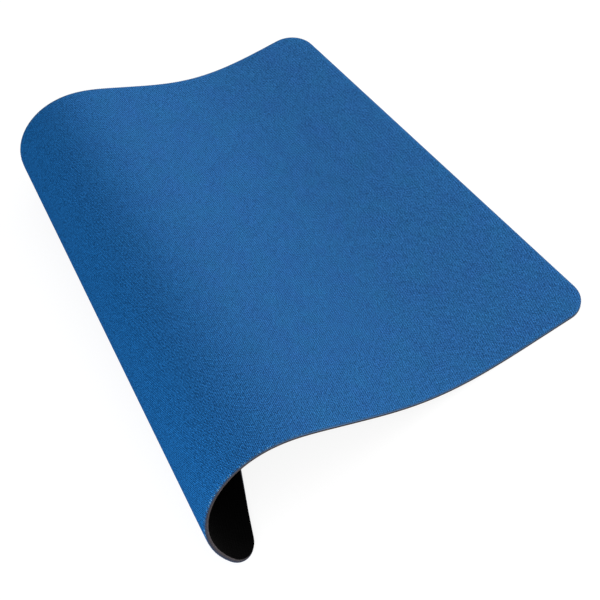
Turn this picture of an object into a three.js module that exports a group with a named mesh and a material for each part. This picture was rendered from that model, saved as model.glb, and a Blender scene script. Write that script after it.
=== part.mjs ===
// A mouse pad rolled up at one end: woven cloth bonded to a thin sponge rubber mat with a moulded grip skin.
// Millimetres. Z is up, +X points to the flat end and +Y to the far long edge.
import * as THREE from "three";
import { mergeVertices, toCreasedNormals } from "three/addons/utils/BufferGeometryUtils.js";

// The blank, as die-cut from the flat laminate
const blankLength = 220; // from the flat end to the rolled end
const blankWidth = 180;
const cornerRadius = 10;

// Thickness of each layer, from the top down
const clothThickness = 0.3;
const filmThickness = 0.1;
const spongeThickness = 0.9;
const skinThickness = 0.2;

// Places and lengths of the bends, along the centre line of the blank from its flat end
const flatRun = 12; // lies flat on the desk
const riseRun = 94; // bends up off the desk, most at its middle
const rollStart = 105; // the curl begins
const rollEase = 53; // the curl tightens over this length

// The curl
const rollRadius = 18.5; // of the cloth's underside where the curl is fully tight
const rollPitch = 4; // the radius shrinks by this much in each full turn
const tightestShare = 0.5; // of the roll radius, where a long roll stops shrinking

// Slant of the fold lines against a line square across the blank, in degrees
const flatEndSlant = 3.2;
const rolledEndSlant = 17;

// Facets: the bent sheet is folded along straight lines that fan out across the blank
const foldSpacing = 2.8;
const closestShare = 0.3; // of the fold spacing, the least distance to a fold through an outline point
const cornerDivisions = 3; // each corner has two chords a division
const creaseAngle = 0.6; // radians, between faces that are shaded as a sharp edge

// The rise turns by less than a right angle, and halving its range this often finds the turn exactly
const steepestRise = Math.PI / 2;
const halvings = 40;

const layers = [
  { name: "cloth_top", thickness: clothThickness, color: 0x2462a3, roughness: 0.85 },
  { name: "bonding_film", thickness: filmThickness, color: 0xb9b3a4, roughness: 0.5 },
  { name: "sponge_core", thickness: spongeThickness, color: 0x5a5050, roughness: 0.95 },
  { name: "grip_skin", thickness: skinThickness, color: 0x0d0d0e, roughness: 0.8 },
];

// The fold lines lean more and more towards the rolled end
const flatEndLean = Math.tan(THREE.MathUtils.degToRad(flatEndSlant));
const rolledEndLean = Math.tan(THREE.MathUtils.degToRad(rolledEndSlant));
const leanGain = (rolledEndLean - flatEndLean) / blankLength;

// How far a fold line shifts towards the flat end for each millimetre across the blank
function leanAt(station) {
  return flatEndLean + leanGain * station;
}

// The place on the centre line of the fold line through a point of the blank
function stationOf(point) {
  return (point.x + point.y * flatEndLean) / (1 - point.y * leanGain);
}

// The blank's outline, with x along it from the flat end and y across it from the centre line
function blankOutline() {
  const side = blankWidth / 2;
  const straightSide = side - cornerRadius;
  const lastCentre = blankLength - cornerRadius;
  const quarter = Math.PI / 2;
  const shape = new THREE.Shape();
  shape.absarc(cornerRadius, -straightSide, cornerRadius, -2 * quarter, -quarter);
  shape.absarc(lastCentre, -straightSide, cornerRadius, -quarter, 0);
  shape.absarc(lastCentre, straightSide, cornerRadius, 0, quarter);
  shape.absarc(cornerRadius, straightSide, cornerRadius, quarter, 2 * quarter);
  return shape.getPoints(cornerDivisions);
}

// The outline split where the first and the last fold line touch it: one chain along each long edge
function outlineChains(outline) {
  const stations = outline.map(stationOf);
  const first = stations.indexOf(Math.min(...stations));
  const last = stations.indexOf(Math.max(...stations));
  const walk = (step) => {
    const chain = [];
    for (let i = first; i !== last; i = (i + step + outline.length) % outline.length) chain.push(outline[i]);
    return [...chain, outline[last]];
  };
  return { near: walk(1), far: walk(-1) };
}

// A fold line through each point of the outline, and more between them at even steps
function foldStations(outline) {
  const own = outline.map(stationOf);
  const last = Math.max(...own);
  const count = Math.ceil((last - flatRun) / foldSpacing);
  const even = Array.from({ length: count }, (_, i) => flatRun + ((last - flatRun) * i) / count);
  const clearance = foldSpacing * closestShare;
  const between = even.filter((station) => own.every((other) => Math.abs(other - station) > clearance));
  return [...new Set([...own, ...between])].sort((a, b) => a - b);
}

// Where a fold line crosses one chain of the outline
function crossing(chain, station) {
  const next = chain.findIndex((point) => stationOf(point) >= station);
  if (stationOf(chain[next]) === station) return chain[next];
  const past = (point) => point.x + point.y * leanAt(station) - station;
  const [before, after] = [chain[next - 1], chain[next]];
  return before.clone().lerp(after, past(before) / (past(before) - past(after)));
}

// Curvature square to the fold line: the rise bends the pad up, and the roll curls it down
function curvatureAt(station, riseTurn) {
  const riseShare = THREE.MathUtils.clamp((station - flatRun) / riseRun, 0, 1);
  const rise = (riseTurn / riseRun) * (1 - Math.cos(2 * Math.PI * riseShare));
  const pastEase = Math.max(0, station - rollStart - rollEase);
  const turnsPast = pastEase / (2 * Math.PI * rollRadius);
  const radius = Math.max(rollRadius - rollPitch * turnsPast, rollRadius * tightestShare);
  return THREE.MathUtils.smoothstep(station, rollStart, rollStart + rollEase) / radius - rise;
}

// The fold in the flat blank at one station, which turns what lies past it
function foldMatrix(station, turn) {
  const hinge = new THREE.Vector3(-station, 0, 0);
  const axis = new THREE.Vector3(leanAt(station), 1, 0).normalize();
  return new THREE.Matrix4()
    .makeTranslation(hinge)
    .multiply(new THREE.Matrix4().makeRotationAxis(axis, -turn))
    .multiply(new THREE.Matrix4().makeTranslation(hinge.negate()));
}

// The folded sheet as ribs, one a fold line: its two ends, and the step that heights are measured along
function foldedRibs(stations, chains, riseTurn) {
  const facet = new THREE.Matrix4();
  const up = () => new THREE.Vector3(0, 0, 1).transformDirection(facet);
  return stations.map((station, i) => {
    const before = up();
    if (i > 0 && i < stations.length - 1) {
      const reach = (stations[i + 1] - stations[i - 1]) / 2;
      const width = reach * Math.cos(Math.atan(leanAt(station)));
      facet.multiply(foldMatrix(station, curvatureAt(station, riseTurn) * width));
    }
    const after = up();
    const end = ({ x, y }) => new THREE.Vector3(-x, y, 0).applyMatrix4(facet);
    return {
      station,
      near: end(crossing(chains.near, station)),
      far: end(crossing(chains.far, station)),
      rise: before.clone().add(after).divideScalar(1 + before.dot(after)),
    };
  });
}

// A rib's two ends at a height over the cloth's underside
function ribAt(rib, height) {
  return {
    near: rib.near.clone().addScaledVector(rib.rise, height),
    far: rib.far.clone().addScaledVector(rib.rise, height),
  };
}

const padDepth = filmThickness + spongeThickness + skinThickness; // below the cloth's underside
const outline = blankOutline();
const chains = outlineChains(outline);
const stations = foldStations(outline);

// How high the roll's cloth hangs over the desk that the flat run's grip skin lies on
function rollLift(riseTurn) {
  const rolled = foldedRibs(stations, chains, riseTurn).filter((rib) => rib.station > rollStart + rollEase);
  const edges = rolled.map((rib) => ribAt(rib, clothThickness));
  const lowest = edges.map(({ near, far }) => Math.min(near.z, far.z));
  return Math.min(...lowest) + padDepth;
}

// The turn of the rise that lets both the flat run and the roll rest on the desk
function restingRiseTurn() {
  let [low, high] = [0, steepestRise];
  for (let i = 0; i < halvings; i++) {
    const middle = (low + high) / 2;
    if (rollLift(middle) < 0) low = middle;
    else high = middle;
  }
  return high;
}

// One layer between two heights: its upper and lower faces, and the cut edge along both chains
function layerGeometry(ribs, lowHeight, highHeight) {
  const corners = [];
  const triangle = (a, b, c) => {
    if (!a.equals(b) && !b.equals(c) && !c.equals(a)) corners.push(a, b, c);
  };
  const quad = (a, b, c, d) => {
    triangle(a, b, c);
    triangle(a, c, d);
  };
  ribs.slice(1).forEach((rib, i) => {
    const [low, high] = [ribAt(ribs[i], lowHeight), ribAt(ribs[i], highHeight)];
    const [nextLow, nextHigh] = [ribAt(rib, lowHeight), ribAt(rib, highHeight)];
    quad(high.near, high.far, nextHigh.far, nextHigh.near);
    quad(low.near, nextLow.near, nextLow.far, low.far);
    quad(low.near, high.near, nextHigh.near, nextLow.near);
    quad(low.far, nextLow.far, nextHigh.far, high.far);
  });
  const geometry = mergeVertices(new THREE.BufferGeometry().setFromPoints(corners));
  return toCreasedNormals(geometry, creaseAngle);
}

// The pad's group, placed so that its footprint's centre is the origin and its lowest point is at zero height
function mousePad() {
  const ribs = foldedRibs(stations, chains, restingRiseTurn());
  const pad = new THREE.Group();
  let high = clothThickness;
  for (const { name, thickness, color, roughness } of layers) {
    const material = new THREE.MeshStandardMaterial({ color, roughness, metalness: 0 });
    const mesh = new THREE.Mesh(layerGeometry(ribs, high - thickness, high), material);
    mesh.name = name;
    pad.add(mesh);
    high -= thickness;
  }
  const box = new THREE.Box3().setFromObject(pad, true);
  const centre = box.getCenter(new THREE.Vector3());
  pad.position.set(-centre.x, -centre.y, -box.min.z);
  return pad;
}

export default mousePad();
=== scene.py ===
import bisect
import math
import random

import bpy
from mathutils import Matrix, Vector


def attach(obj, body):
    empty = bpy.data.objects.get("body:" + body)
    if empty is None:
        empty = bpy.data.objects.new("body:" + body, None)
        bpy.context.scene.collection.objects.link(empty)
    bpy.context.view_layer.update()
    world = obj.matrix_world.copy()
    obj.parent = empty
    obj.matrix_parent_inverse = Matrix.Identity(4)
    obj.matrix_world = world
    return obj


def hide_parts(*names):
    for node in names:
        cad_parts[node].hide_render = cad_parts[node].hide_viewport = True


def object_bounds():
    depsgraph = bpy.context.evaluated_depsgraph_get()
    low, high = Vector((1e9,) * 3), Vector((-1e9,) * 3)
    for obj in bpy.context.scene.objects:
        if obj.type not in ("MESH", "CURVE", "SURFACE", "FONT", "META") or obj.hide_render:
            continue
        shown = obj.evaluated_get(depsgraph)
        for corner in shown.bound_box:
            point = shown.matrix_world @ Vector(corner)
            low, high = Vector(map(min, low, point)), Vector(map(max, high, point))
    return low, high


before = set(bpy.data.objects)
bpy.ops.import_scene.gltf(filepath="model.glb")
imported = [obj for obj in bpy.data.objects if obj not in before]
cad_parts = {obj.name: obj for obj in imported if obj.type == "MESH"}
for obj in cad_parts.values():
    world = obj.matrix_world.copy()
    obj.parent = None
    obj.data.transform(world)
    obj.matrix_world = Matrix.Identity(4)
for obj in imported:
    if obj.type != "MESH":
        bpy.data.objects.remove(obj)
cadBox = [list(corner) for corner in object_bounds()]
mm = 0.001

tolerance = 0.01 * mm  # how far a point may be from the height that it is picked by
levelNormal = 0.99  # the least upward share in the normal of a face that lies level
faceNormal = 0.3  # and of one that belongs to a layer's two faces rather than to the cut between them
smoothAngle = math.radians(40)  # an edge that turns by more than this stays sharp

# the whole pad is cut flat; lengths run from the flat end, and the middle line is halfway across
blank = {
    "length": 220 * mm,
    "width": 180 * mm,
    "cornerRadius": 10 * mm,
    "cornerSegments": 12,
    "rimSegments": 2,
    "foldSpacing": 1 * mm,  # between the lines that it is bent along
    "crossSpacing": 10 * mm,  # between the cuts across those
}
flatMiddle = Vector((-blank["length"] / 2, 0, 0))
halfSize = Vector((blank["length"] / 2, blank["width"] / 2, 0))

# then it is bent up off the desk and curled down again; the fold lines lean more towards the rolled end
bend = {
    "flatRun": 12 * mm,
    "riseRun": 94 * mm,
    "rollStart": 105 * mm,
    "rollEase": 53 * mm,
    "rollRadius": 18.5 * mm,
    "rollPitch": 4 * mm,
    "tightestShare": 0.5,
    "flatEndSlant": math.radians(3.2),
    "rolledEndSlant": math.radians(17),
    "steepestRise": math.pi / 2,
    "halvings": 40,
}
flatLean = math.tan(bend["flatEndSlant"])
leanGain = (math.tan(bend["rolledEndSlant"]) - flatLean) / blank["length"]


def leanAt(station):
    return flatLean + leanGain * station


def stationOf(place):
    # where the fold line through a place crosses the middle line
    return (place.y * flatLean - place.x) / (1 - place.y * leanGain)


def eased(share):
    # the same share with a soft start and a soft end
    share = min(max(share, 0), 1)
    return share * share * (3 - 2 * share)


def curlShare(station):
    # from none where the curl begins to one where it is fully tight
    return eased((station - bend["rollStart"]) / bend["rollEase"])


def curvatureAt(station, riseTurn):
    riseShare = min(max((station - bend["flatRun"]) / bend["riseRun"], 0), 1)
    rise = riseTurn / bend["riseRun"] * (1 - math.cos(2 * math.pi * riseShare))
    turnsPast = max(0, station - bend["rollStart"] - bend["rollEase"]) / (2 * math.pi * bend["rollRadius"])
    shrunk = bend["rollRadius"] - bend["rollPitch"] * turnsPast
    radius = max(shrunk, bend["rollRadius"] * bend["tightestShare"])
    return curlShare(station) / radius - rise


def foldStations():
    side = blank["width"] / 2
    first = stationOf(Vector((0, -side, 0)))
    last = stationOf(Vector((-blank["length"], side, 0)))
    count = math.ceil((last - first) / blank["foldSpacing"])
    return [first + (last - first) * i / count for i in range(count + 1)]


def foldStrips(stations, riseTurn):
    # where each strip between two fold lines comes to lie
    strips = [Matrix()]
    for i in range(1, len(stations) - 1):
        lean = leanAt(stations[i])
        width = (stations[i + 1] - stations[i - 1]) / 2 * math.cos(math.atan(lean))
        angle = -curvatureAt(stations[i], riseTurn) * width
        turn = Matrix.Rotation(angle, 4, Vector((lean, 1, 0)).normalized())
        hinge = Matrix.Translation((-stations[i], 0, 0))
        strips.append(strips[-1] @ hinge @ turn @ hinge.inverted())
    return strips


def rollLift(stations, strips):
    # how high the roll's cloth hangs over the desk that the flat end lies on
    side = blank["width"] / 2
    lowest = math.inf
    for station, strip in zip(stations, strips):
        if station > bend["rollStart"] + bend["rollEase"]:
            for across in (-side, side):
                along = station - across * leanAt(station)
                if along <= blank["length"]:
                    lowest = min(lowest, (strip @ Vector((-along, across, cloth["thickness"]))).z)
    return lowest - skin["low"]


def settleBend():
    # the rise turns just so far that the flat end and the roll both rest on the desk
    stations = foldStations()
    low, high = 0, bend["steepestRise"]
    for _ in range(bend["halvings"]):
        middle = (low + high) / 2
        if rollLift(stations, foldStrips(stations, middle)) < 0:
            low = middle
        else:
            high = middle
    strips = foldStrips(stations, high)
    ups = [strip.to_3x3() @ Vector((0, 0, 1)) for strip in strips]
    mitres = []  # the step at each fold line that a height is measured along
    for before, after in zip([ups[0]] + ups, ups + [ups[-1]]):
        mitres.append((before + after) / (1 + before.dot(after)))
    return stations, strips, mitres


def bentPlace(place, bent):
    stations, strips, mitres = bent
    station = stationOf(place)
    i = min(max(bisect.bisect_right(stations, station) - 1, 0), len(strips) - 1)
    share = (station - stations[i]) / (stations[i + 1] - stations[i])
    step = mitres[i].lerp(mitres[i + 1], share)
    return strips[i] @ Vector((place.x, place.y, 0)) + step * place.z


# the die squeezes the sponge along the cut, so the top of the pad slopes down to its rim
pressedRim = {"depth": 0.2 * mm, "reach": 2 * mm, "loops": (0.4 * mm, 0.5 * mm, 1.1 * mm)}


def rimDistance(place):
    corner = Vector((blank["cornerRadius"], blank["cornerRadius"], 0))
    past = Vector((abs(place.x - flatMiddle.x), abs(place.y), 0)) - halfSize + corner
    outside = Vector((max(past.x, 0), max(past.y, 0), 0)).length
    return blank["cornerRadius"] - outside - min(max(past.x, past.y), 0)


def pressed(place):
    nearness = max(0, 1 - rimDistance(place) / pressedRim["reach"])
    share = min(max((place.z - sponge["low"]) / (film["low"] - sponge["low"]), 0), 1)
    return Vector((place.x, place.y, place.z - pressedRim["depth"] * nearness * nearness * share))


# the rolled end is free of the curl's squeeze, and the sponge stands thicker there
freeEnd = {
    "from": 183 * mm,
    "to": 208 * mm,
    "growth": 0.55,  # share of its depth
}


def swollen(place):
    growth = freeEnd["growth"] * eased((-place.x - freeEnd["from"]) / (freeEnd["to"] - freeEnd["from"]))
    return Vector((place.x, place.y, place.z + min(place.z, 0) * growth))


def deselectAll():
    if bpy.context.object and bpy.context.object.mode != "OBJECT":
        bpy.ops.object.mode_set(mode="OBJECT")
    bpy.ops.object.select_all(action="DESELECT")


def pickOnly(piece):
    deselectAll()
    piece.select_set(True)
    bpy.context.view_layer.objects.active = piece


def pickEdges(piece, isPicked):
    # goes to edit mode with just those edges selected whose two ends pass the test
    bpy.ops.object.mode_set(mode="EDIT")
    bpy.ops.mesh.select_mode(type="EDGE")
    bpy.ops.mesh.select_all(action="DESELECT")
    bpy.ops.object.mode_set(mode="OBJECT")
    points = piece.data.vertices
    for edge in piece.data.edges:
        edge.select = isPicked(*(points[i].co for i in edge.vertices))
    bpy.ops.object.mode_set(mode="EDIT")


def pickFaces(piece, isPicked):
    bpy.ops.object.mode_set(mode="EDIT")
    bpy.ops.mesh.select_mode(type="FACE")
    bpy.ops.mesh.select_all(action="DESELECT")
    bpy.ops.object.mode_set(mode="OBJECT")
    for face in piece.data.polygons:
        face.select = isPicked(face)
    bpy.ops.object.mode_set(mode="EDIT")


def cutLayer(name, low, high):
    # a slab of the blank's size with its corners rounded
    deselectAll()
    bpy.ops.mesh.primitive_cube_add(size=1, location=flatMiddle + Vector((0, 0, (low + high) / 2)))
    piece = bpy.context.object
    piece.name = name
    piece.scale = (blank["length"], blank["width"], high - low)
    bpy.ops.object.transform_apply(location=True, rotation=True, scale=True)
    pickEdges(piece, lambda a, b: abs(a.z - b.z) > (high - low) / 2)
    bpy.ops.mesh.bevel(offset=blank["cornerRadius"], segments=blank["cornerSegments"], affect="EDGES")
    bpy.ops.object.mode_set(mode="OBJECT")
    return piece


def roundOutline(piece, height, width):
    # rounds the outline of the slab's upper or lower face
    pickEdges(piece, lambda a, b: max(abs(a.z - height), abs(b.z - height)) < tolerance)
    bpy.ops.mesh.bevel(offset=width, segments=blank["rimSegments"], affect="EDGES")
    bpy.ops.object.mode_set(mode="OBJECT")


def insetRimLoops(piece):
    # loops near the rim, for the slope that the die pressed
    for side in (1, -1):
        pickFaces(piece, lambda face: face.normal.z * side > levelNormal)
        for step in pressedRim["loops"]:
            bpy.ops.mesh.inset(thickness=step, depth=0)
        bpy.ops.object.mode_set(mode="OBJECT")


def scoreFolds(piece, stations):
    # cuts the flat slab along every fold line and, more widely, across them
    bpy.ops.object.mode_set(mode="EDIT")
    for station in stations[1:-1]:
        bpy.ops.mesh.select_all(action="SELECT")
        bpy.ops.mesh.bisect(plane_co=(-station, 0, 0), plane_no=(1, -leanAt(station), 0))
    count = round(blank["width"] / blank["crossSpacing"])
    for i in range(1, count):
        bpy.ops.mesh.select_all(action="SELECT")
        across = blank["width"] * (i / count - 0.5)
        bpy.ops.mesh.bisect(plane_co=(0, across, 0), plane_no=(0, 1, 0))
    bpy.ops.object.mode_set(mode="OBJECT")


def mapBlank(piece):
    # one map keeps each point's place on the flat blank, in metres, so that the weave follows the bend
    # and the other keeps how tightly the pad is curled there and the point's height in the flat pad
    while piece.data.uv_layers:
        piece.data.uv_layers.remove(piece.data.uv_layers[0])
    piece.data.uv_layers.new(name="blank")
    piece.data.uv_layers.new(name="section")
    for loop in piece.data.loops:
        place = piece.data.vertices[loop.vertex_index].co
        piece.data.uv_layers["blank"].data[loop.index].uv = (-place.x, place.y)
        piece.data.uv_layers["section"].data[loop.index].uv = (curlShare(stationOf(place)), place.z)


def plainPlaces(piece, bent):
    # where the flat slab's points would come to lie with the rim unpressed
    return [bentPlace(vertex.co, bent) for vertex in piece.data.vertices]


def bendLayer(piece, bent):
    mapBlank(piece)
    for vertex in piece.data.vertices:
        vertex.co = bentPlace(swollen(pressed(vertex.co)), bent)
    piece.data.update()


def paint(piece, face, rim):
    # the first material goes on the two faces, the second on the cut wall between them
    piece.data.materials.append(face)
    piece.data.materials.append(rim)
    for polygon in piece.data.polygons:
        polygon.material_index = 0 if abs(polygon.normal.z) > faceNormal else 1


def seatOnDesk(pieces, plain):
    low = Vector([min(place[axis] for place in plain) for axis in range(3)])
    high = Vector([max(place[axis] for place in plain) for axis in range(3)])
    shift = (Vector(cadBox[0]) + Vector(cadBox[1]) - low - high) / 2
    shift.z = cadBox[0][2] - low.z
    for piece in pieces:
        piece.data.transform(Matrix.Translation(shift))
        pickOnly(piece)
        bpy.ops.object.shade_smooth_by_angle(angle=smoothAngle)


def linear(level):
    # from a screen's level to linear light
    share = level / 255
    return share / 12.92 if share <= 0.04045 else ((share + 0.055) / 1.055) ** 2.4


def srgb(red, green, blue):
    return (linear(red), linear(green), linear(blue), 1)


def newGroup(name, inputs, outputs):
    group = bpy.data.node_groups.new(name, "ShaderNodeTree")
    for socket, kind in inputs.items():
        group.interface.new_socket(socket, in_out="INPUT", socket_type="NodeSocket" + kind)
    for socket, kind in outputs.items():
        group.interface.new_socket(socket, in_out="OUTPUT", socket_type="NodeSocket" + kind)
    return group, group.nodes.new("NodeGroupInput").outputs, group.nodes.new("NodeGroupOutput").inputs


def feed(tree, socket, value):
    if isinstance(value, bpy.types.NodeSocket):
        tree.links.new(value, socket)
    else:
        socket.default_value = value


def calc(tree, operation, *values, clamp=False):
    node = tree.nodes.new("ShaderNodeMath")
    node.operation = operation
    node.use_clamp = clamp
    for socket, value in zip(node.inputs, values):
        feed(tree, socket, value)
    return node.outputs[0]


def combine(tree, x, y):
    node = tree.nodes.new("ShaderNodeCombineXYZ")
    feed(tree, node.inputs[0], x)
    feed(tree, node.inputs[1], y)
    return node.outputs[0]


def separate(tree, vector):
    node = tree.nodes.new("ShaderNodeSeparateXYZ")
    feed(tree, node.inputs[0], vector)
    return node.outputs


def noise(tree, place, scale, detail=2):
    node = tree.nodes.new("ShaderNodeTexNoise")
    node.inputs["Detail"].default_value = detail
    feed(tree, node.inputs["Vector"], place)
    feed(tree, node.inputs["Scale"], scale)
    return node.outputs["Fac"]


def speckle(tree, x, y):
    # a random level about zero
    node = tree.nodes.new("ShaderNodeTexWhiteNoise")
    feed(tree, node.inputs["Vector"], combine(tree, x, y))
    return calc(tree, "SUBTRACT", node.outputs["Value"], 0.5)


def blend(tree, share, first, second):
    # mixes two colours
    node = tree.nodes.new("ShaderNodeMix")
    node.data_type = "RGBA"
    feed(tree, node.inputs[0], share)
    feed(tree, node.inputs[6], first)
    feed(tree, node.inputs[7], second)
    return node.outputs[2]


def shade(tree, colour, factor):
    node = tree.nodes.new("ShaderNodeVectorMath")
    node.operation = "SCALE"
    feed(tree, node.inputs[0], colour)
    feed(tree, node.inputs["Scale"], factor)
    return node.outputs[0]


# how a weave's threads differ from one to the next
threadChance = {
    "rowStep": 7.31,  # between two threads' places in the noise, so that their tones don't run alike
    "aroundShare": 0.12,  # of its level, that a crossing takes off each of the four around it
}


def makeWeave():
    # plain weave: each thread is a ridge that passes over one neighbour and under the next
    group, given, made = newGroup(
        "plainWeave",
        {
            "Place": "Vector",
            "Along Pitch": "Float",
            "Across Pitch": "Float",
            "Slub Length": "Float",
            "Contrast": "Float",
        },
        {"Height": "Float", "Tone": "Float", "Float Tone": "Float"},
    )
    x, y, _ = separate(group, given["Place"])
    turns = [
        calc(group, "DIVIDE", x, given["Along Pitch"]),
        calc(group, "DIVIDE", y, given["Across Pitch"]),
    ]
    waves = [calc(group, "SINE", calc(group, "MULTIPLY", turn, math.pi)) for turn in turns]
    crossing = calc(group, "MULTIPLY", calc(group, "MULTIPLY", waves[0], waves[1]), 0.5)
    ridges = [
        calc(group, "MULTIPLY", calc(group, "ABSOLUTE", waves[0]), calc(group, "ADD", 0.5, crossing)),
        calc(group, "MULTIPLY", calc(group, "ABSOLUTE", waves[1]), calc(group, "SUBTRACT", 0.5, crossing)),
    ]
    over = calc(group, "GREATER_THAN", ridges[1], ridges[0])
    feed(group, made["Height"], calc(group, "MAXIMUM", *ridges))
    # each thread has its own tone, which also changes slowly along it
    rows = [calc(group, "MULTIPLY", calc(group, "FLOOR", turn), threadChance["rowStep"]) for turn in turns]
    runs = [calc(group, "DIVIDE", length, given["Slub Length"]) for length in (y, x)]
    tones = [
        noise(group, combine(group, rows[0], runs[0]), 1, 1),
        noise(group, combine(group, runs[1], rows[1]), 1, 1),
    ]
    swap = calc(group, "MULTIPLY", calc(group, "SUBTRACT", tones[1], tones[0]), over)
    feed(group, made["Tone"], calc(group, "SUBTRACT", calc(group, "ADD", tones[0], swap), 0.5))
    # threads of one direction are lighter where they pass over, and each crossing differs a little
    # more from the four around it than it would by chance
    column, row = [calc(group, "FLOOR", turn) for turn in turns]
    floatTone = speckle(group, column, row)
    for step in (1, -1):
        beside = speckle(group, calc(group, "ADD", column, step), row)
        ahead = speckle(group, column, calc(group, "ADD", row, step))
        around = calc(group, "MULTIPLY", calc(group, "ADD", beside, ahead), threadChance["aroundShare"])
        floatTone = calc(group, "SUBTRACT", floatTone, around)
    lighter = calc(group, "SUBTRACT", calc(group, "PINGPONG", calc(group, "ADD", column, row), 1), 0.5)
    feed(group, made["Float Tone"], calc(group, "MULTIPLY_ADD", lighter, given["Contrast"], floatTone))
    return group


def makePatches():
    # soft uneven patches and fine grain, both about zero
    group, given, made = newGroup(
        "softPatches",
        {"Place": "Vector", "Patch Scale": "Float", "Grain Scale": "Float"},
        {"Patch": "Float", "Grain": "Float"},
    )
    for name, scale in (("Patch", "Patch Scale"), ("Grain", "Grain Scale")):
        level = noise(group, given["Place"], given[scale])
        feed(group, made[name], calc(group, "SUBTRACT", level, 0.5))
    return group


def makeRimBand():
    # one at the outline of the blank, down to nothing at the given reach inside it
    group, given, made = newGroup("rimBand", {"Place": "Vector", "Reach": "Float"}, {"Band": "Float"})
    x, y, _ = separate(group, given["Place"])
    radius = blank["cornerRadius"]
    middle = calc(group, "ABSOLUTE", calc(group, "ADD", x, flatMiddle.x))
    past = [
        calc(group, "SUBTRACT", middle, halfSize.x - radius),
        calc(group, "SUBTRACT", calc(group, "ABSOLUTE", y), halfSize.y - radius),
    ]
    squares = [calc(group, "POWER", calc(group, "MAXIMUM", value, 0), 2) for value in past]
    outside = calc(group, "SQRT", calc(group, "ADD", *squares))
    inside = calc(group, "MINIMUM", calc(group, "MAXIMUM", *past), 0)
    distance = calc(group, "SUBTRACT", radius, calc(group, "ADD", outside, inside))
    share = calc(group, "DIVIDE", distance, given["Reach"])
    feed(group, made["Band"], calc(group, "SUBTRACT", 1, share, clamp=True))
    return group


def useGroup(tree, group, **values):
    node = tree.nodes.new("ShaderNodeGroup")
    node.node_tree = group
    for name, value in values.items():
        feed(tree, node.inputs[name.replace("_", " ")], value)
    return node.outputs


def newMaterial(name, roughness, specular):
    material = bpy.data.materials.new(name)
    material.use_nodes = True
    tree = material.node_tree
    shader = tree.nodes["Principled BSDF"]
    shader.inputs["Roughness"].default_value = roughness
    shader.inputs["Specular IOR Level"].default_value = specular
    return material, tree, shader


def mapped(tree, name="blank"):
    node = tree.nodes.new("ShaderNodeUVMap")
    node.uv_map = name
    return node.outputs["UV"]


def objectPlace(tree):
    return tree.nodes.new("ShaderNodeTexCoord").outputs["Object"]


def raiseBy(tree, shader, height, distance):
    bump = tree.nodes.new("ShaderNodeBump")
    bump.inputs["Distance"].default_value = distance
    feed(tree, bump.inputs["Height"], height)
    feed(tree, shader.inputs["Normal"], bump.outputs["Normal"])


# woven polyester top, dyed blue, with its threads cut through at the rim
cloth = {
    "low": 0,
    "thickness": 0.3 * mm,
    "rimRound": 0.08 * mm,
    "threadPitchAlong": 0.51 * mm,
    "threadPitchAcross": 0.333 * mm,
    "slubLength": 1.6 * mm,
    "crown": srgb(56, 113, 185),
    # the grooves between threads carry painted shade
    "shadedGroove": srgb(4, 35, 81),
    "crownAt": 0.75,  # of the thread's height, where its colour is fully light
    "toneAmount": 0.85,
    "floatToneAmount": 0.75,
    "contrast": 1.4,  # between the threads of the two directions
    "darkest": 0.2,  # the tones leave a thread at least this share of its colour
    "patchColour": srgb(52, 124, 181),
    "rollShadedCrown": srgb(33, 107, 175),  # a deeper blue on the curl, painted shade where the roll faces away from the lamps
    "rollShadePower": 1.5,  # over one, this starts later than the curl
    "patchScale": 90,
    "grainScale": 1400,
    "grainAmount": 0.35,
    "roughness": 0.8,
    "specular": 0,
    "relief": 0.06 * mm,
    "meltedRim": 0.5 * mm,  # the die melts this much of the threads, which greys them
    "meltedColour": srgb(62, 90, 122),
    "meltedShare": 0.7,
    "curledShade": 0.3,  # share by which the melted band is darker on the curl, painted shade
    "glintBand": 1.8 * mm,  # within this of the cut, the weave's contrast is raised as painted glints and shade
    "glintAmount": 1.2,
    "glintLevel": 0.66,  # share of the crown's colour, above which the painted glint lightens it and below which it darkens it
    "cut": {
        "poreScale": 2600,
        "poreDepth": 0.05 * mm,
        "wall": srgb(42, 62, 92),
        "shadedPore": srgb(14, 24, 44),
    },
}


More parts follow.
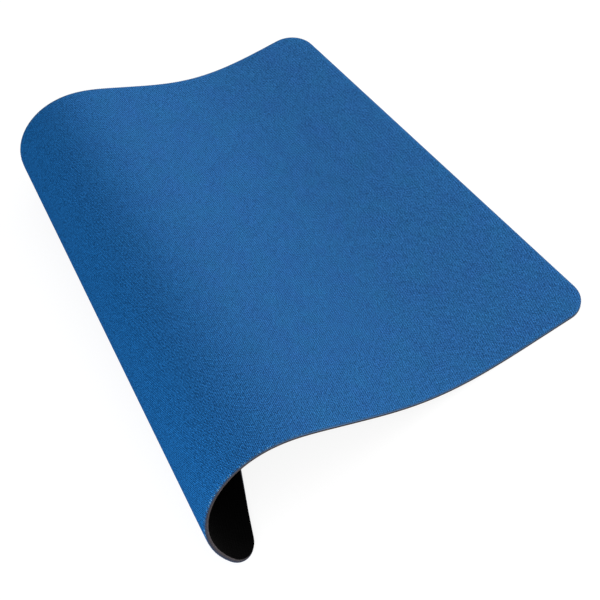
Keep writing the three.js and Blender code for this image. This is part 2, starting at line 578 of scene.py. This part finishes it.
def clothFace(weave, patches, rimBand):
    material, tree, shader = newMaterial("wovenBlue", cloth["roughness"], cloth["specular"])
    where = mapped(tree)
    threads = useGroup(
        tree,
        weave,
        Place=where,
        Along_Pitch=cloth["threadPitchAlong"],
        Across_Pitch=cloth["threadPitchAcross"],
        Slub_Length=cloth["slubLength"],
        Contrast=cloth["contrast"],
    )
    uneven = useGroup(
        tree, patches, Place=where, Patch_Scale=cloth["patchScale"], Grain_Scale=cloth["grainScale"]
    )
    # the colour: pale crowns over grooves darkened by painted shade, greyed where the die melted them
    light = calc(tree, "DIVIDE", threads["Height"], cloth["crownAt"], clamp=True)
    patch = calc(tree, "ADD", uneven["Patch"], 0.5, clamp=True)
    crown = blend(tree, patch, cloth["crown"], cloth["patchColour"])
    curl = separate(tree, mapped(tree, "section"))[0]
    # painted shade: the crowns take a deeper blue on the curl
    rollShade = calc(tree, "POWER", curl, cloth["rollShadePower"])
    crown = blend(tree, rollShade, crown, cloth["rollShadedCrown"])
    colour = blend(tree, light, cloth["shadedGroove"], crown)
    melted = useGroup(tree, rimBand, Place=where, Reach=cloth["meltedRim"])["Band"]
    greyed = calc(tree, "MULTIPLY", melted, cloth["meltedShare"])
    colour = blend(tree, greyed, colour, cloth["meltedColour"])
    # its level: whole threads and single crossings differ, and near the cut a painted glint lightens the
    # crowns and painted shade darkens the grooves
    tone = calc(tree, "MULTIPLY", threads["Tone"], cloth["toneAmount"])
    tone = calc(tree, "ADD", tone, calc(tree, "MULTIPLY", threads["Float Tone"], cloth["floatToneAmount"]))
    grain = calc(tree, "MULTIPLY", uneven["Grain"], cloth["grainAmount"])
    glintRim = useGroup(tree, rimBand, Place=where, Reach=cloth["glintBand"])["Band"]
    contrast = calc(tree, "MULTIPLY", glintRim, calc(tree, "SUBTRACT", light, cloth["glintLevel"]))
    glintLift = calc(tree, "MULTIPLY", contrast, cloth["glintAmount"])
    # painted shade: the melted band is darker on the curl
    dark = calc(tree, "MULTIPLY", calc(tree, "MULTIPLY", melted, curl), cloth["curledShade"])
    factor = calc(tree, "ADD", calc(tree, "ADD", tone, grain), calc(tree, "ADD", glintLift, 1))
    factor = calc(tree, "MAXIMUM", factor, cloth["darkest"])
    factor = calc(tree, "MULTIPLY", factor, calc(tree, "SUBTRACT", 1, dark))
    feed(tree, shader.inputs["Base Color"], shade(tree, colour, factor))
    raiseBy(tree, shader, threads["Height"], cloth["relief"])
    return material


# the die drags blue lint from the cloth down the top of the cut
dyeLint = {
    "reach": 0.6 * mm,
    "share": 0.75,
    "colour": srgb(72, 116, 162),
    "curlShadedLint": srgb(40, 48, 66),  # darker on the curl, painted shade
}


# what the cut walls of all layers share
cutLook = {
    "roughness": 0.9,
    "specular": 0.15,
    "poreSlope": 1.5,  # how fast a pore rises from its middle to the wall
    "poresPerPatch": 20,  # side by side
    "patchAmount": 0.6,
}


def cutWall(name, look, patches):
    # a cut wall of open pores or thread ends
    material, tree, shader = newMaterial(name, cutLook["roughness"], cutLook["specular"])
    where = objectPlace(tree)
    cells = tree.nodes.new("ShaderNodeTexVoronoi")
    cells.inputs["Scale"].default_value = look["poreScale"]
    feed(tree, cells.inputs["Vector"], where)
    depth = calc(tree, "MULTIPLY", cells.outputs["Distance"], cutLook["poreSlope"], clamp=True)
    uneven = useGroup(tree, patches, Place=where, Patch_Scale=look["poreScale"] / cutLook["poresPerPatch"])
    curl, height, _ = separate(tree, mapped(tree, "section"))
    # on the curl the lint colour turns to painted shade
    lintAndShade = blend(tree, curl, dyeLint["colour"], dyeLint["curlShadedLint"])
    above = calc(tree, "ADD", height, dyeLint["reach"])
    dragged = calc(tree, "DIVIDE", above, dyeLint["reach"], clamp=True)
    dragged = calc(tree, "MULTIPLY", dragged, dyeLint["share"])
    # the colour darkens toward each pore's middle, painted shade in the hollows
    colour = blend(tree, dragged, blend(tree, depth, look["shadedPore"], look["wall"]), lintAndShade)
    factor = calc(tree, "ADD", calc(tree, "MULTIPLY", uneven["Patch"], cutLook["patchAmount"]), 1)
    feed(tree, shader.inputs["Base Color"], shade(tree, colour, factor))
    raiseBy(tree, shader, depth, look["poreDepth"])
    return material


# along the cut, every second thread ends on top of the last one that it crosses, and curls up a little
threadEnd = {
    "size": Vector((0.34, 0.62, 0.16)) * mm,  # width, length and height
    "segments": 10,
    "rings": 5,
    "proud": 0.06 * mm,  # past the cut
    "curledLength": 0.3 * mm,  # more of a thread stands loose where the pad is curled
    "scatter": 0.35,  # share by which a length or height differs from one to the next
    "seed": 5,
    "combed": srgb(60, 106, 152),  # where the pad is flat
    "shadedEnd": srgb(34, 62, 98),  # and on the curl, darker by painted shade
    # scattered ends on the curl get this painted glint
    "glintEnd": srgb(122, 184, 228),
    "toneScale": 1300,
    "toneContrast": 7,
    "glintShare": 0.1,  # one half for as many glinting ends as shaded ones
    "roughness": 0.8,
    "specular": 0,
}


def threadEndLook(patches):
    material, tree, shader = newMaterial("looseThreads", threadEnd["roughness"], threadEnd["specular"])
    uneven = useGroup(tree, patches, Place=mapped(tree), Grain_Scale=threadEnd["toneScale"])
    share = calc(
        tree,
        "MULTIPLY_ADD",
        uneven["Grain"],
        threadEnd["toneContrast"],
        threadEnd["glintShare"],
        clamp=True,
    )
    curlShadeAndGlint = blend(tree, share, threadEnd["shadedEnd"], threadEnd["glintEnd"])
    curl = calc(tree, "SQRT", separate(tree, mapped(tree, "section"))[0])
    feed(tree, shader.inputs["Base Color"], blend(tree, curl, threadEnd["combed"], curlShadeAndGlint))
    return material


def threadEndPlaces():
    # the middle of each end's cut, and the way that its thread runs out there
    places = []
    for side in (-1, 1):
        pitch = cloth["threadPitchAlong"]
        first = round(blank["cornerRadius"] / pitch)
        last = round((blank["length"] - blank["cornerRadius"]) / pitch)
        for i in range(first + (first + 1) % 2, last, 2):
            places.append((Vector((-(i + 0.5) * pitch, side * blank["width"] / 2, 0)), side * math.pi / 2))
        pitch = cloth["threadPitchAcross"]
        last = round((blank["width"] / 2 - blank["cornerRadius"]) / pitch)
        for i in range(-last, last, 2):
            edge = flatMiddle.x + side * blank["length"] / 2
            places.append((Vector((edge, (i + 0.5) * pitch, 0)), 0 if side > 0 else math.pi))
    return places


def addThreadEnds(piece, patches):
    chance = random.Random(threadEnd["seed"])
    top = cloth["low"] + cloth["thickness"]
    deselectAll()
    bpy.ops.mesh.primitive_uv_sphere_add(
        segments=threadEnd["segments"], ring_count=threadEnd["rings"], radius=0.5
    )
    first = bpy.context.object
    first.data.materials.append(threadEndLook(patches))
    ends = []
    for place, heading in threadEndPlaces():
        end = first.copy()
        end.data = first.data.copy()
        bpy.context.collection.objects.link(end)
        width, length, height = threadEnd["size"]
        length += threadEnd["curledLength"] * curlShare(stationOf(place))
        length *= 1 + threadEnd["scatter"] * chance.uniform(-1, 1)
        height *= 1 + threadEnd["scatter"] * chance.uniform(-1, 1)
        end.data.transform(Matrix.Diagonal((length, width, height, 1)))
        end.data.transform(Matrix.Translation((threadEnd["proud"] - length / 2, 0, 0)))
        end.data.transform(Matrix.Translation((place.x, place.y, top)) @ Matrix.Rotation(heading, 4, "Z"))
        ends.append(end)
    bpy.data.objects.remove(first)
    pickOnly(piece)
    for end in ends:
        end.select_set(True)
    bpy.ops.object.join()


def makeCloth(stations, weave, patches, rimBand):
    top = cloth["low"] + cloth["thickness"]
    piece = cutLayer("clothTop", cloth["low"], top)
    roundOutline(piece, top, cloth["rimRound"])
    insetRimLoops(piece)
    scoreFolds(piece, stations)
    paint(piece, clothFace(weave, patches, rimBand), cutWall("cutThreads", cloth["cut"], patches))
    return piece


# thin film that bonds the cloth to the sponge
film = {
    "low": -0.1 * mm,
    "poreScale": 1800,
    "poreDepth": 0.01 * mm,
    "wall": srgb(68, 66, 72),
    "shadedPore": srgb(40, 39, 46),
}


def makeFilm(stations, patches):
    piece = cutLayer("bondFilm", film["low"], cloth["low"])
    insetRimLoops(piece)
    scoreFolds(piece, stations)
    glue = cutWall("bondLine", film, patches)
    paint(piece, glue, glue)
    return piece


# sponge rubber, whose pores show on the cut wall
sponge = {
    "low": -1 * mm,
    "wallRows": 3,
    "bow": 0.08 * mm,  # the wall draws in by this much halfway up
    "poreScale": 3800,
    "poreDepth": 0.09 * mm,
    "wall": srgb(71, 66, 68),
    "shadedPore": srgb(33, 30, 32),
}


def makeSponge(stations, patches):
    piece = cutLayer("spongeMat", sponge["low"], film["low"])
    insetRimLoops(piece)
    for i in range(1, sponge["wallRows"] + 1):
        share = i / (sponge["wallRows"] + 1)
        height = sponge["low"] + (film["low"] - sponge["low"]) * share
        bpy.ops.object.mode_set(mode="EDIT")
        bpy.ops.mesh.select_all(action="SELECT")
        bpy.ops.mesh.bisect(plane_co=(0, 0, height), plane_no=(0, 0, 1))
        pickEdges(piece, lambda a, b: max(abs(a.z - height), abs(b.z - height)) < tolerance)
        bpy.ops.transform.shrink_fatten(value=-sponge["bow"] * 4 * share * (1 - share))
        bpy.ops.object.mode_set(mode="OBJECT")
    scoreFolds(piece, stations)
    foam = cutWall("cutSponge", sponge, patches)
    paint(piece, foam, foam)
    return piece


# rubber skin moulded against a coarse cloth, which grips the desk
skin = {
    "low": -1.2 * mm,
    "rimRound": 0.06 * mm,
    "gripPitch": 1.1 * mm,
    "slubLength": 1,  # longer than the pad, because moulded rubber has no slubs
    "raised": srgb(6, 6, 6),
    # painted shade in the imprint's grooves
    "shadedGroove": srgb(2, 2, 2),
    "patchScale": 40,
    "grainScale": 2500,
    "roughness": 0.8,
    "specular": 0.02,
    "relief": 0.12 * mm,
}


def skinFace(weave, patches):
    material, tree, shader = newMaterial("mouldedBlackRubber", skin["roughness"], skin["specular"])
    where = mapped(tree)
    imprint = useGroup(
        tree,
        weave,
        Place=where,
        Along_Pitch=skin["gripPitch"],
        Across_Pitch=skin["gripPitch"],
        Slub_Length=skin["slubLength"],
    )
    uneven = useGroup(
        tree, patches, Place=where, Patch_Scale=skin["patchScale"], Grain_Scale=skin["grainScale"]
    )
    # the imprint's grooves are darker by painted shade
    colour = blend(tree, imprint["Height"], skin["shadedGroove"], skin["raised"])
    both = calc(tree, "ADD", uneven["Patch"], uneven["Grain"])
    feed(tree, shader.inputs["Base Color"], shade(tree, colour, calc(tree, "ADD", both, 1)))
    raiseBy(tree, shader, imprint["Height"], skin["relief"])
    return material


def makeSkin(stations, weave, patches):
    piece = cutLayer("gripSkin", skin["low"], sponge["low"])
    roundOutline(piece, skin["low"], skin["rimRound"])
    scoreFolds(piece, stations)
    face = skinFace(weave, patches)
    paint(piece, face, face)
    return piece


# the photograph's own view
photoView = {
    "aim": Vector((4.37, -17.24, 0)) * mm,
    "azimuth": math.radians(-35.44),
    "elevation": math.radians(51.71),
    "distance": 714.1 * mm,
    "roll": math.radians(-1.795),
    "lens": 116.8,
}


def placeCamera():
    flat = math.cos(photoView["elevation"])
    ahead = Vector((
        -math.sin(photoView["azimuth"]) * flat,
        math.cos(photoView["azimuth"]) * flat,
        -math.sin(photoView["elevation"]),
    ))
    right = ahead.cross(Vector((0, 0, 1))).normalized()
    upright = Matrix((right, right.cross(ahead), -ahead)).transposed()
    turned = upright @ Matrix.Rotation(photoView["roll"], 3, "Z")
    deselectAll()
    bpy.ops.object.camera_add(location=photoView["aim"] - ahead * photoView["distance"])
    camera = bpy.context.object
    camera.name = "photoCamera"
    camera.rotation_euler = turned.to_euler()
    camera.data.lens = photoView["lens"]
    bpy.context.scene.camera = camera


# a low soft lamp on the flat end's side, a weaker one at the front left, and an even dome
studio = {
    "lamps": {
        "keyLamp": {"azimuth": 0, "elevation": 12, "distance": 0.7, "size": 0.55, "power": 3.4},
        "fillLamp": {"azimuth": 228, "elevation": 12, "distance": 0.38, "size": 0.3, "power": 0.8},
    },
    "dome": 0.7,
    "floorSize": 6,
    "floorColour": srgb(243, 243, 243),
    "floorRoughness": 0.9,
    "floorGlow": 1.14,  # what the camera sees of the floor is mostly this, so that the shadow stays faint
    "glowShare": 0.75,
}


def addLamps():
    for name, lamp in studio["lamps"].items():
        azimuth, elevation = math.radians(lamp["azimuth"]), math.radians(lamp["elevation"])
        flat = math.cos(elevation)
        towards = Vector((math.cos(azimuth) * flat, math.sin(azimuth) * flat, math.sin(elevation)))
        deselectAll()
        bpy.ops.object.light_add(type="AREA", location=towards * lamp["distance"])
        light = bpy.context.object
        light.name = name
        light.data.shape = "DISK"
        light.data.size = lamp["size"]
        light.data.energy = lamp["power"]
        light.rotation_euler = (-towards).to_track_quat("-Z", "Y").to_euler()


def seenRays(tree):
    # one for what the camera sees, also where something glossy or clear shows it
    rays = tree.nodes.new("ShaderNodeLightPath").outputs
    either = calc(tree, "MAXIMUM", rays["Is Camera Ray"], rays["Is Glossy Ray"])
    return calc(tree, "MAXIMUM", either, rays["Is Transmission Ray"])


def layFloor():
    deselectAll()
    bpy.ops.mesh.primitive_plane_add(size=studio["floorSize"], location=(0, 0, cadBox[0][2]))
    floor = bpy.context.object
    floor.name = "studioFloor"
    material, tree, shader = newMaterial("paleFloor", studio["floorRoughness"], specular=0)
    shader.inputs["Base Color"].default_value = studio["floorColour"]
    glow = tree.nodes.new("ShaderNodeEmission")
    glow.inputs["Strength"].default_value = studio["floorGlow"]
    mix = tree.nodes.new("ShaderNodeMixShader")
    feed(tree, mix.inputs[0], calc(tree, "MULTIPLY", seenRays(tree), studio["glowShare"]))
    feed(tree, mix.inputs[1], shader.outputs[0])
    feed(tree, mix.inputs[2], glow.outputs[0])
    feed(tree, tree.nodes["Material Output"].inputs["Surface"], mix.outputs[0])
    floor.data.materials.append(material)


def lightDome():
    world = bpy.data.worlds.new("softDome")
    bpy.context.scene.world = world
    world.use_nodes = True
    tree = world.node_tree
    background = tree.nodes["Background"]
    background.inputs["Color"].default_value = (1, 1, 1, 1)
    extra = calc(tree, "MULTIPLY", seenRays(tree), 1 - studio["dome"])
    feed(tree, background.inputs["Strength"], calc(tree, "ADD", extra, studio["dome"]))


placeCamera()
print("camera placed")

bent = settleBend()
print("bend settled over", len(bent[0]), "fold lines")

weave = makeWeave()
patches = makePatches()
stations = bent[0]
clothTop = makeCloth(stations, weave, patches, makeRimBand())
bondFilm = makeFilm(stations, patches)
spongeMat = makeSponge(stations, patches)
gripSkin = makeSkin(stations, weave, patches)
print("four layers cut")

pieces = [clothTop, bondFilm, spongeMat, gripSkin]
plain = [spot for piece in pieces for spot in plainPlaces(piece, bent)]
addThreadEnds(clothTop, patches)
for piece in pieces:
    bendLayer(piece, bent)
seatOnDesk(pieces, plain)
print("layers bent and seated on the desk")

solids = {"cloth": "cloth_top", "film": "bonding_film", "sponge": "sponge_core", "skin": "grip_skin"}
for piece, slot in zip(pieces, solids):
    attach(piece, "root")
    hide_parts(solids[slot])

print("layers bonded")

layFloor()
addLamps()
lightDome()
bpy.context.scene.view_settings.view_transform = "Standard"
print("studio lit")
